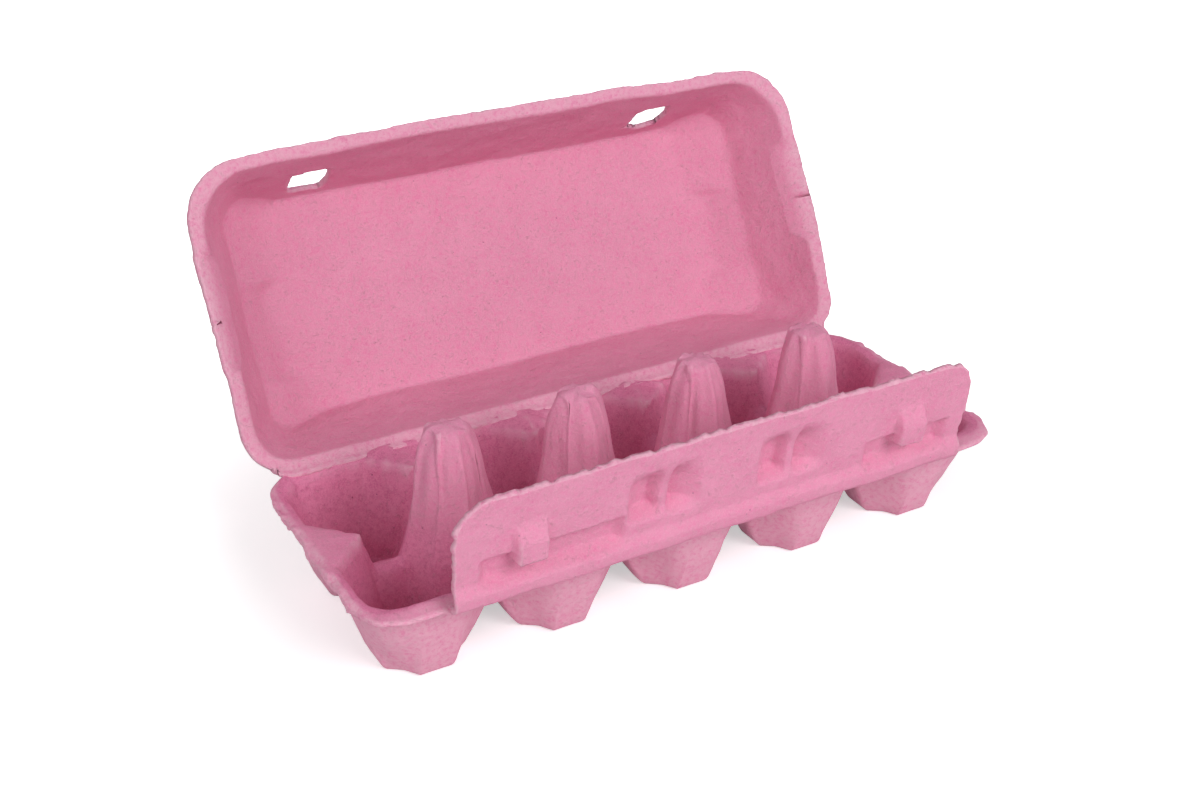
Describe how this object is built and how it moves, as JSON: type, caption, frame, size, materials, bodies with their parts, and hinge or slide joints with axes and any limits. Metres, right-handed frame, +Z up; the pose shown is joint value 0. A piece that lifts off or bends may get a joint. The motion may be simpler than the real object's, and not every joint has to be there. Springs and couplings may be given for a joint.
{
  "type": "egg carton",
  "caption": "Open moulded-pulp egg carton: a tray of tapered cups in two rows with pointed posts between them, a hollow fold-over lid with lock slots, and a front lock flap with buttons.",
  "frame": {"origin": "on the table, under the middle of the row of posts, halfway between the two rows of cups", "axes": "+X along the carton, -Y towards the lock flap at the front, +Y towards the lid's hinge, +Z up"},
  "size_m": [0.245, 0.1868, 0.1317],
  "materials": {
    "pink_pulp": "dry matte moulded paper pulp dyed pink, fine mottled fibres with sparse dark specks, paler frayed edges"
  },
  "bodies": {
    "tray": {"tray": "pink_pulp"},
    "lid": {"lid": "pink_pulp"},
    "lock_flap": {"lock_flap": "pink_pulp"}
  },
  "joints": [
    {"name": "lid_hinge", "type": "hinge", "parent": "tray", "child": "lid", "pos_m": [0, 0.0474, 0.03585], "axis": [1, 0, 0], "range_deg": [-50, 117.5]},
    {"name": "flap_fold", "type": "hinge", "parent": "tray", "child": "lock_flap", "pos_m": [0, -0.0521, 0.0341], "axis": [1, 0, 0], "range_deg": [-34.5, 15]}
  ],
  "couplings": [
    {"joint": "flap_fold", "follows": "lid_hinge", "ratio": -0.29}
  ]
}
